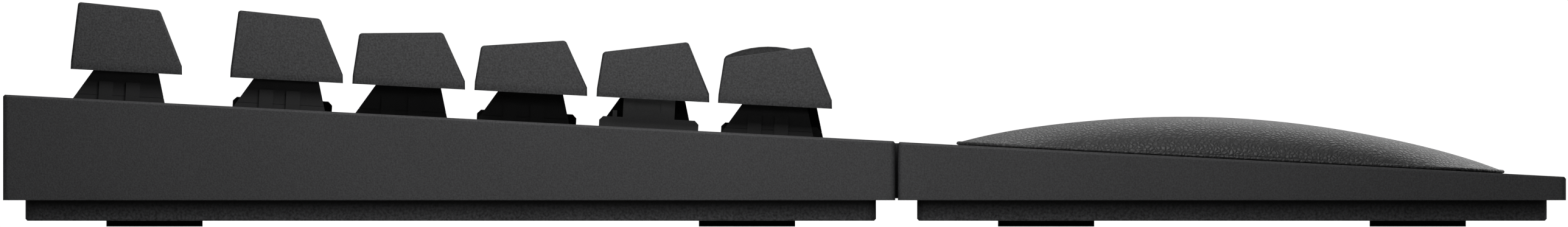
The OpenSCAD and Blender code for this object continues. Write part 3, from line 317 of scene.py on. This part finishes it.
def cut_across(mesh, faces, normal, places):
    """Cuts the faces that faces() names by planes at these places along the normal."""
    for place in places:
        found = [f for f in faces() if f.is_valid]
        geom = set(found) | {e for f in found for e in f.edges} | {v for f in found for v in f.verts}
        bmesh.ops.bisect_plane(mesh, geom=list(geom), dist=0.0001, plane_co=normal * place, plane_no=normal)


def relieve(cap, x, inside):
    """A pocket in the foot of the rear wall, where the wall passes a stabiliser's shoulder."""
    low, high = x - RELIEF_WIDTH / 2, x + RELIEF_WIDTH / 2

    def rear_wall():
        return [
            f for f in cap.faces
            if all(inside - WALL_BAND < v.co.y < inside + NEAR for v in f.verts)
            and min(v.co.z for v in f.verts) < NEAR and f.calc_area() > NEAR
        ]

    def rear_foot():
        return [f for f in cap.faces if all(v.co.y > inside - NEAR and v.co.z < NEAR for v in f.verts)]

    cut_across(cap, rear_wall, Vector((1, 0, 0)), [low, high])
    cut_across(cap, rear_wall, Vector((0, 0, 1)), [RELIEF_H])
    cut_across(cap, rear_foot, Vector((1, 0, 0)), [low, high])
    cut_across(cap, rear_foot, Vector((0, 1, 0)), [RELIEF_BACK])
    opened = [f for f in rear_wall() + rear_foot()
              if low < f.calc_center_median().x < high and f.calc_center_median().z < RELIEF_H
              and f.calc_center_median().y < RELIEF_BACK]
    corners = {v for f in opened for v in f.verts}

    def corner(side, y, z):
        return min(corners, key=lambda v: (v.co - Vector((side, y, z))).length)

    inner = [corner(side, inside, 0) for side in (low, high)]
    head = [corner(side, inside, RELIEF_H) for side in (low, high)]
    outer = [corner(side, RELIEF_BACK, 0) for side in (low, high)]
    roof = [cap.verts.new((side, RELIEF_BACK, RELIEF_H)) for side in (low, high)]
    bmesh.ops.delete(cap, geom=opened, context="FACES_ONLY")
    cap.faces.new((outer[0], roof[0], roof[1], outer[1]))
    cap.faces.new((roof[0], head[0], head[1], roof[1]))
    cap.faces.new((outer[0], inner[0], head[0], roof[0]))
    cap.faces.new((outer[1], roof[1], head[1], inner[1]))
    between = cap.edges.get(inner)
    if between and not between.link_faces:
        cap.edges.remove(between)


def build_cap(width, depth, line, bosses, rounded):
    """A cap in millimetres round its own middle, with its foot at 0."""
    (front, front_h), (back, back_h) = line
    front_slope = (depth / 2 - RIM_DRAFT - front) / (front_h - RIM_H)
    back_slope = (depth / 2 - back) / (back_h - RIM_H)
    wall = SPACE_WALL if rounded else CAP_WALL
    cap = bmesh.new()
    bmesh.ops.create_cube(cap, size=1, matrix=Matrix.Translation((0, 0, RIM_H / 2))
                          @ Matrix.Diagonal((width, depth, RIM_H, 1)))
    for vert in cap.verts:
        if vert.co.z > 0 and vert.co.y < 0:
            vert.co.y += RIM_DRAFT
    roof = max(cap.faces, key=lambda f: f.calc_center_median().z)
    raised = bmesh.ops.extrude_face_region(cap, geom=[roof])["geom"]
    cap.faces.remove(roof)
    for vert in (g for g in raised if isinstance(g, bmesh.types.BMVert)):
        y, z = (-front, front_h) if vert.co.y < 0 else (back, back_h)
        half = width / 2 - (z - RIM_H) * SIDE_LEAN
        vert.co = Vector((math.copysign(half, vert.co.x), y, z))
    round_edges = [
        e for e in cap.edges
        if abs(e.verts[0].co.z - e.verts[1].co.z) > 1.2 or min(v.co.z for v in e.verts) > 2 * RIM_H
    ]
    bevelled(cap, round_edges, EDGE_R, 3)

    # The hollow: the foot's face is inset by the wall and drawn up to the roof.
    foot = min(cap.faces, key=lambda f: f.calc_center_median().z)
    bmesh.ops.inset_region(cap, faces=[foot], thickness=wall, use_even_offset=True)
    drawn = bmesh.ops.extrude_face_region(cap, geom=[foot])["geom"]
    cap.faces.remove(foot)
    inner_front = front + front_slope * CAP_ROOF - wall
    inner_back = back + back_slope * CAP_ROOF - wall
    for vert in (g for g in drawn if isinstance(g, bmesh.types.BMVert)):
        reach = vert.co.y / (depth / 2 - wall)
        y = reach * (inner_front if reach < 0 else inner_back)
        z = front_h + (y + front) / (front + back) * (back_h - front_h) - CAP_ROOF
        vert.co = Vector((vert.co.x * (1 - (z - RIM_H) * SIDE_LEAN / (width / 2 - wall)), y, z))

    for x in [x for x, y in bosses if abs(x) > RELIEF_WIDTH]:
        relieve(cap, x, depth / 2 - wall)
    top_low = min(front_h, back_h) - 1.2 * EDGE_R

    def top_faces():
        return [f for f in cap.faces if min(v.co.z for v in f.verts) > top_low and f.normal.z > 0.05]

    cap.normal_update()
    if rounded:
        a, b = Vector((-front, front_h)), Vector((back, back_h))
        chord = b - a
        middle = (a + b) / 2
        down = Vector((chord.y, -chord.x)).normalized() * math.sqrt(SPACE_TOP_R ** 2 - chord.length ** 2 / 4)
        centre = middle + down
        steps = 10
        cuts = [-front + (front + back) * i / steps for i in range(1, steps)]
        cut_across(cap, top_faces, Vector((0, 1, 0)), cuts)
        for vert in {v for f in top_faces() for v in f.verts}:
            if -front < vert.co.y < back:
                flat = front_h + (vert.co.y + front) / (front + back) * (back_h - front_h)
                rise = centre.y + math.sqrt(SPACE_TOP_R ** 2 - (vert.co.y - centre.x) ** 2) - flat
                vert.co.z += rise
                vert.co.x -= math.copysign(rise * SIDE_LEAN, vert.co.x)
    else:
        half = width / 2 - (min(front_h, back_h) - RIM_H) * SIDE_LEAN - DISH_EDGE
        steps = 12 if width < 25 else 18
        cut_across(cap, top_faces, Vector((1, 0, 0)), [half * (2 * i / steps - 1) for i in range(steps + 1)])
        for vert in {v for f in top_faces() for v in f.verts}:
            if abs(vert.co.x) < half:
                drop = DISH_DEPTH * (1 - (vert.co.x / half) ** 2)
                vert.co.z -= drop
                vert.co.y += drop * (back_slope if vert.co.y > 0 else -front_slope)

    for x, y in bosses:
        height = front_h + (y + front) / (front + back) * (back_h - front_h) - BOSS_HEAD
        bmesh.ops.create_cone(
            cap, cap_ends=True, segments=24, radius1=BOSS_R, radius2=BOSS_R, depth=height - BOSS_FOOT,
            matrix=Matrix.Translation((x, y, (height + BOSS_FOOT) / 2)))
    # The fold where the leaning sides rise from the rim stays crisp.
    for edge in cap.edges:
        if all(abs(v.co.z - RIM_H) < 0.02 for v in edge.verts):
            edge.smooth = False
    return cap


def keep_piece(name, mesh, material, body, smooth=30):
    data = bpy.data.meshes.new(name)
    for edge in mesh.edges:
        if len(edge.link_faces) == 2 and edge.calc_face_angle(0) > math.radians(smooth):
            edge.smooth = False
    mesh.to_mesh(data)
    mesh.free()
    data.polygons.foreach_set("use_smooth", [True] * len(data.polygons))
    piece = bpy.data.objects.new(name, data)
    bpy.context.scene.collection.objects.link(piece)
    piece.data.materials.append(material)
    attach(piece, body)
    return piece


stem_places = {}
for name in [n for n in frame["nodes"] if n.endswith("_key") or n.endswith("_keys")]:
    caps, stems, places, shells = bmesh.new(), bmesh.new(), [], []
    for merged, solid, low, high in split_solids(frame["nodes"][name]):
        if high.y - low.y > DEEPEST_STEM:
            shells.append((low, high))
            continue
        places.append((low + high) / 2)
        for face in {f for v in solid for f in v.link_faces}:
            corners = [stems.verts.new(v.co) for v in face.verts]
            stems.faces.new(corners)
    bmesh.ops.remove_doubles(stems, verts=stems.verts, dist=0.001)
    for low, high in shells:
        middle = (low + high) / 2
        row = round((middle.y - FRONT_ROW) / ROW_PITCH)
        rounded = high.x - low.x > SPACE_WIDTH
        foot = low.z
        bosses = [
            (p.x - middle.x, p.y - middle.y) for p in places
            if low.x < p.x < high.x and low.y < p.y < high.y
        ]
        line = SPACE_TOP_LINE if rounded else TOP_LINES[row]
        cap = build_cap(high.x - low.x, high.y - low.y, line, bosses, rounded)
        cap.transform(Matrix.Translation((middle.x, middle.y, foot)))
        held = bpy.data.meshes.new("held")
        cap.to_mesh(held)
        cap.free()
        caps.from_mesh(held)
        bpy.data.meshes.remove(held)
    body = frame["nodes"][name]["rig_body"]
    for mesh in (caps, stems):
        mesh.transform(deck)
    shown = keep_piece(name + "_cap", caps, keycap_plastic, body, 35)
    shown.modifiers.new("even_shading", "WEIGHTED_NORMAL").keep_sharp = True
    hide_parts(name)
    stem = keep_piece(name + "_stem", stems, stem_plastic, body)
    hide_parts(name)
    stem_places[name] = places

# ---------------------------------------------------------------- springs
# The return spring of each switch, coiled from fine steel wire. It stands in the housing with its head in the
# stem.
SPRING_STEEL = (0.62, 0.60, 0.53)
WIRE_R = 0.2
TURNS = 7
TURN_STEPS, WIRE_SIDES = 16, 6
SAME_PLACE = 0.5

spring_steel = bare_metal("spring_steel", SPRING_STEEL, 2500, 0.2, 0.3, 0.000006)


def coil(springs, low, high):
    """A coil in millimetres between two corners of its box, with closed ends."""
    x, y = (low.x + high.x) / 2, (low.y + high.y) / 2
    mean_r = (high.x - low.x) / 2 - WIRE_R
    foot, rise = low.z + WIRE_R, high.z - low.z - 2 * WIRE_R
    last = None
    for i in range(TURNS * TURN_STEPS + 1):
        turn = i / TURN_STEPS
        share = min(1.0, max(0.0, (turn - 1) / (TURNS - 2)))
        closed = 2 * WIRE_R * (min(turn, 1) - 1 + max(turn - TURNS + 1, 0))
        height = foot + 2 * WIRE_R + closed + (rise - 4 * WIRE_R) * share
        out = Vector((math.cos(2 * math.pi * turn), math.sin(2 * math.pi * turn), 0))
        ring = []
        for k in range(WIRE_SIDES):
            angle = 2 * math.pi * k / WIRE_SIDES
            place = Vector((x, y, height)) + out * (mean_r + WIRE_R * math.cos(angle))
            ring.append(springs.verts.new(place + Vector((0, 0, WIRE_R * math.sin(angle)))))
        if last:
            for k in range(WIRE_SIDES):
                springs.faces.new((last[k - 1], last[k], ring[k], ring[k - 1]))
        else:
            springs.faces.new(ring)
        last = ring
    springs.faces.new(list(reversed(last)))


spring_node = frame["nodes"]["switch_springs"]
spring_boxes = [(low, high) for merged, solid, low, high in split_solids(spring_node)]
for name, places in stem_places.items():
    springs = bmesh.new()
    for low, high in spring_boxes:
        middle = (low + high) / 2
        if any((p.xy - middle.xy).length < SAME_PLACE for p in places):
            coil(springs, low, high)
    bmesh.ops.recalc_face_normals(springs, faces=springs.faces)
    springs.transform(deck)
    shown = keep_piece(
        name + "_springs", springs, spring_steel, spring_node["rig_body"], 60)
    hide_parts("switch_springs")
    low, high = spring_boxes[0]
    foot = deck @ Vector((0, 0, low.z))
    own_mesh(shown)
    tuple(foot)

# ---------------------------------------------------------------- wrist rest
# The same two kinds of moulding as the keyboard's case: a sloping frame and a shallow pan that snaps into it.
finish_node(case_plastic, "rest_base")
# The pan takes the tray's material, with its painted shade: darker towards the top of its wall under the
# frame's overhang, lighter towards its foot.
finish_node(tray_plastic, "rest_pan")

# ---------------------------------------------------------------- cushion
# Foam under black imitation leather, stretched over it and gathered into a seam that runs round its foot.
# The cover is inflated as cloth over a slightly low form, so that it is drawn tight from its held edge.
REST_FRONT_H = 7.75 * MM
CUSHION_MARGIN = 10.0 * MM
CUSHION_CROWN = 6.45 * MM
CUSHION_BAND = 0.45 * MM
CUSHION_CORNER = 12.0 * MM
CUSHION_FALL = 11.0 * MM
SEAT_SINK = 0.01 * MM
SLACK = 0.35 * MM
MOST_SWELL = 0.5 * MM
PRESSURE = 4.0
FRAMES = 20
CELLS_X, CELLS_Y = 110, 30
LEATHER_BLACK = (0.018, 0.018, 0.0185)
LEATHER_PALE = (0.037, 0.037, 0.038)

rest_low, rest_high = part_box("rest_base")
rest_depth = rest_high.y - rest_low.y
half_w = (rest_high.x - rest_low.x) / 2 - CUSHION_MARGIN
half_d = rest_depth / 2 / math.cos(SLOPE) - CUSHION_MARGIN
rest_deck = (
    Matrix.Translation((0, rest_low.y, REST_FRONT_H)) @ Matrix.Rotation(SLOPE, 4, "X")
    @ Matrix.Translation((0, rest_depth / 2 / math.cos(SLOPE), -SEAT_SINK))
)


def fullness(t, bend, round_off):
    """Height between the crown, at 0, and the foot, at 1."""
    return max(0.0, 1 - min(1.0, max(0.0, t)) ** bend) ** round_off


def half_depth_at(x):
    over = max(0.0, abs(x) - (half_w - CUSHION_CORNER))
    return half_d - CUSHION_CORNER + math.sqrt(max(0.0, CUSHION_CORNER ** 2 - over ** 2))


def build_pad():
    pad = bmesh.new()
    bmesh.ops.create_grid(pad, x_segments=CELLS_X, y_segments=CELLS_Y, size=1)
    rim = [e for e in pad.edges if e.is_boundary]
    crown = CUSHION_CROWN - CUSHION_BAND - SLACK
    for vert in pad.verts:
        s, t = vert.co.x, math.sin(vert.co.y * math.pi / 2)
        x = half_w * math.copysign(1 - (1 - abs(s)) ** 1.8, s)
        d = half_depth_at(x)
        side = fullness((abs(x) - (half_w - CUSHION_FALL)) / CUSHION_FALL, 2, 0.6)
        vert.co = Vector((x, t * d, CUSHION_BAND + crown * fullness(abs(t), 2.2, 0.92) * side))
    drawn = bmesh.ops.extrude_edge_only(pad, edges=rim)["geom"]
    for vert in (g for g in drawn if isinstance(g, bmesh.types.BMVert)):
        vert.co.z = 0
    bmesh.ops.holes_fill(pad, edges=[e for e in pad.edges if e.is_boundary], sides=0)
    bmesh.ops.recalc_face_normals(pad, faces=pad.faces)
    return pad


def inflate(piece):
    rest = [v.co.copy() for v in piece.data.vertices]
    held = piece.vertex_groups.new(name="held")
    held.add([i for i, co in enumerate(rest) if co.z < CUSHION_BAND * 1.02], 1.0, "REPLACE")
    cloth = piece.modifiers.new("cover", "CLOTH")
    cloth.settings.use_pressure = True
    cloth.settings.uniform_pressure_force = PRESSURE
    cloth.settings.effector_weights.gravity = 0
    cloth.settings.vertex_group_mass = "held"
    cloth.settings.quality = 5
    cloth.point_cache.frame_start, cloth.point_cache.frame_end = 1, FRAMES
    for step in range(1, FRAMES + 1):
        bpy.context.scene.frame_set(step)
    swollen = piece.evaluated_get(bpy.context.evaluated_depsgraph_get()).to_mesh()
    places = [v.co.copy() for v in swollen.vertices]
    piece.evaluated_get(bpy.context.evaluated_depsgraph_get()).to_mesh_clear()
    piece.modifiers.remove(cloth)
    bpy.context.scene.frame_set(1)
    for vert, start, end in zip(piece.data.vertices, rest, places):
        move = end - start
        if move.length > MOST_SWELL:
            move *= MOST_SWELL / move.length
        vert.co = start + move


def leather():
    material = bpy.data.materials.new("cushion_cover")
    material.use_nodes = True
    made, join = material.node_tree.nodes.new, material.node_tree.links.new
    shader = material.node_tree.nodes["Principled BSDF"]
    shader.inputs["Specular IOR Level"].default_value = 0.55
    shader.inputs["Sheen Weight"].default_value = 0.15
    shader.inputs["Sheen Roughness"].default_value = 0.4
    place = made("ShaderNodeTexCoord")
    warp = made("ShaderNodeTexNoise")
    warp.inputs["Scale"].default_value = 900
    bend = made("ShaderNodeVectorMath")
    bend.operation = "MULTIPLY_ADD"
    bend.inputs[1].default_value = (0.0004, 0.0004, 0.0004)
    join(place.outputs["Object"], warp.inputs["Vector"])
    join(warp.outputs["Color"], bend.inputs[0])
    join(place.outputs["Object"], bend.inputs[2])
    pebbles = made("ShaderNodeTexVoronoi")
    pebbles.feature = "DISTANCE_TO_EDGE"
    pebbles.inputs["Scale"].default_value = 1500
    creases = made("ShaderNodeMapRange")
    creases.inputs["From Max"].default_value = 0.35
    join(bend.outputs[0], pebbles.inputs["Vector"])
    join(pebbles.outputs["Distance"], creases.inputs["Value"])
    tint = made("ShaderNodeMix")
    tint.data_type = "RGBA"
    tint.inputs["A"].default_value = (*LEATHER_BLACK, 1)
    tint.inputs["B"].default_value = (*LEATHER_PALE, 1)
    join(creases.outputs["Result"], tint.inputs["Factor"])
    join(tint.outputs["Result"], shader.inputs["Base Color"])
    dull = made("ShaderNodeMapRange")
    dull.inputs["To Min"].default_value = 0.62
    dull.inputs["To Max"].default_value = 0.46
    join(creases.outputs["Result"], dull.inputs["Value"])
    join(dull.outputs["Result"], shader.inputs["Roughness"])
    relief = made("ShaderNodeBump")
    relief.inputs["Strength"].default_value = 1.0
    relief.inputs["Distance"].default_value = 0.00006
    join(creases.outputs["Result"], relief.inputs["Height"])
    join(relief.outputs["Normal"], shader.inputs["Normal"])
    return material


cushion_cover = leather()
pad = build_pad()
data = bpy.data.meshes.new("cushion")
pad.to_mesh(data)
pad.free()
cushion = bpy.data.objects.new("cushion", data)
bpy.context.scene.collection.objects.link(cushion)
inflate(cushion)
data.transform(rest_deck)
data.polygons.foreach_set("use_smooth", [True] * len(data.polygons))
cushion.data.materials.append(cushion_cover)
smoother = cushion.modifiers.new("smoother", "SUBSURF")
smoother.levels = smoother.render_levels = 1
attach(cushion, "wrist_rest")
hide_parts("rest_cushion")

# ---------------------------------------------------------------- seam
# The cover's edge is gathered into a narrow welt that runs round the cushion's foot. The gathers make fine
# upright puckers in it, a millimetre or so apart.
WELT_H = 0.6 * MM
WELT_OUT = 0.3 * MM
PUCKER = 0.12 * MM
PUCKER_PITCH = 0.6 * MM
WELT_STEP = 0.2 * MM
WELT_PROFILE = [(0.0, 0.0), (0.7, 0.12), (1.0, 0.45), (0.75, 0.82), (0.1, 1.0)]


def welt_path():
    """Points round the cushion's foot, each with its outward direction."""
    straight_x, straight_y = half_w - CUSHION_CORNER, half_d - CUSHION_CORNER
    corners = [(1, 1, 0), (-1, 1, 90), (-1, -1, 180), (1, -1, 270)]
    found = []
    for i, (sx, sy, turn) in enumerate(corners):
        centre = Vector((sx * straight_x, sy * straight_y, 0))
        steps = round(CUSHION_CORNER * math.pi / 2 / WELT_STEP)
        for k in range(steps):
            angle = math.radians(turn + 90 * k / steps)
            out = Vector((math.cos(angle), math.sin(angle), 0))
            found.append((centre + out * CUSHION_CORNER, out))
        out = Vector((math.cos(math.radians(turn + 90)), math.sin(math.radians(turn + 90)), 0))
        nx, ny, _ = corners[(i + 1) % 4]
        start = centre + out * CUSHION_CORNER
        end = Vector((nx * straight_x, ny * straight_y, 0)) + out * CUSHION_CORNER
        steps = round((end - start).length / WELT_STEP)
        found += [(start.lerp(end, k / steps), out) for k in range(steps)]
    return found


welt, rings = bmesh.new(), []
along = 0.0
path = welt_path()
for i, (point, out) in enumerate(path):
    along += (point - path[i - 1][0]).length if i else 0
    ripple = noise.noise(Vector((along / PUCKER_PITCH, 0.3, 0))) + 0.5 * noise.noise(
        Vector((along / PUCKER_PITCH * 2.3, 7.1, 0)))
    rings.append([
        welt.verts.new(point + out * (reach * (WELT_OUT + PUCKER * ripple)) + Vector((0, 0, h * WELT_H)))
        for reach, h in WELT_PROFILE
    ])
for i, ring in enumerate(rings):
    after = rings[(i + 1) % len(rings)]
    for k in range(len(ring)):
        welt.faces.new((ring[k - 1], after[k - 1], after[k], ring[k]))
bmesh.ops.recalc_face_normals(welt, faces=welt.faces)
welt.transform(rest_deck)
keep_piece("cushion_welt", welt, cushion_cover, "wrist_rest", 80)

# ---------------------------------------------------------------- floor, light and camera
# A plain white sweep under soft light, seen straight from the left side without perspective, as a catalogue
# shows a keyboard's profile.
FLOOR_SIZE = 6.0
FLOOR_DROP = 0.2 * MM
FLOOR_WHITE = (0.62, 0.62, 0.61)
PIXELS_WIDE, PIXELS_HIGH = 2576, 373
PIXELS_PER_MM = 10.545
MIDDLE_PIXEL = 1288.85
DESK_PIXEL = 372.3
VIEW_DISTANCE = 2.0

ground = bmesh.new()
bmesh.ops.create_grid(ground, x_segments=2, y_segments=2, size=FLOOR_SIZE / 2)
ground.transform(Matrix.Translation((0, 0, -FLOOR_DROP)))
floor_data = bpy.data.meshes.new("floor")
ground.to_mesh(floor_data)
ground.free()
floor = bpy.data.objects.new("floor", floor_data)
bpy.context.scene.collection.objects.link(floor)
floor_paint = bpy.data.materials.new("floor_paint")
floor_paint.use_nodes = True
floor_shader = floor_paint.node_tree.nodes["Principled BSDF"]
floor_shader.inputs["Base Color"].default_value = (*FLOOR_WHITE, 1)
floor_shader.inputs["Roughness"].default_value = 0.8
floor.data.materials.append(floor_paint)

world = bpy.data.worlds.new("studio")
bpy.context.scene.world = world
world.use_nodes = True
made, join = world.node_tree.nodes.new, world.node_tree.links.new
soft = world.node_tree.nodes["Background"]
soft.inputs["Color"].default_value = (1, 1, 1, 1)
soft.inputs["Strength"].default_value = 0.05
backdrop = made("ShaderNodeBackground")
backdrop.inputs["Color"].default_value = (1, 1, 1, 1)
backdrop.inputs["Strength"].default_value = 1.05
seen, both = made("ShaderNodeLightPath"), made("ShaderNodeMixShader")
join(seen.outputs["Is Camera Ray"], both.inputs["Fac"])
join(soft.outputs[0], both.inputs[1])
join(backdrop.outputs[0], both.inputs[2])
join(both.outputs[0], world.node_tree.nodes["World Output"].inputs["Surface"])


def soft_box(name, place, target, size, watts):
    lamp = bpy.data.lights.new(name, "AREA")
    lamp.shape = "RECTANGLE"
    lamp.size, lamp.size_y = size
    lamp.energy = watts
    box = bpy.data.objects.new(name, lamp)
    box.location = place
    box.rotation_euler = (Vector(target) - Vector(place)).to_track_quat("-Z", "Y").to_euler()
    box.visible_camera = False
    bpy.context.scene.collection.objects.link(box)


soft_box("side_light", (-0.28, -0.004, 0.15), (-0.18, -0.004, 0.01), (0.1, 0.1), 0.205)
soft_box("low_fill", (-0.3, 0.02, 0.04), (-0.18, 0.02, 0.022), (0.16, 0.02), 0.02)
soft_box("rear_fill", (-0.24, 0.095, 0.13), (-0.175, 0.09, 0.03), (0.05, 0.04), 0.04)
soft_box("rim_light", (0.48, -0.45, 0.5), (-0.1, -0.07, 0.01), (1.0, 0.6), 5)
soft_box("top_light", (0.6, 0.25, 1.1), (0, 0, 0), (0.8, 0.8), 2.5)

camera_data = bpy.data.cameras.new("camera")
camera_data.type = "ORTHO"
camera_data.ortho_scale = PIXELS_WIDE / PIXELS_PER_MM * MM
camera_data.clip_start, camera_data.clip_end = 0.01, 10
camera = bpy.data.objects.new("camera", camera_data)
bpy.context.scene.collection.objects.link(camera)
camera.location = (
    -VIEW_DISTANCE,
    (MIDDLE_PIXEL - PIXELS_WIDE / 2) / PIXELS_PER_MM * MM,
    (DESK_PIXEL - PIXELS_HIGH / 2) / PIXELS_PER_MM * MM,
)
camera.rotation_mode = "QUATERNION"
camera.rotation_quaternion = Vector((1, 0, 0)).to_track_quat("-Z", "Y")
bpy.context.scene.camera = camera
bpy.context.scene.view_settings.view_transform = "Standard"
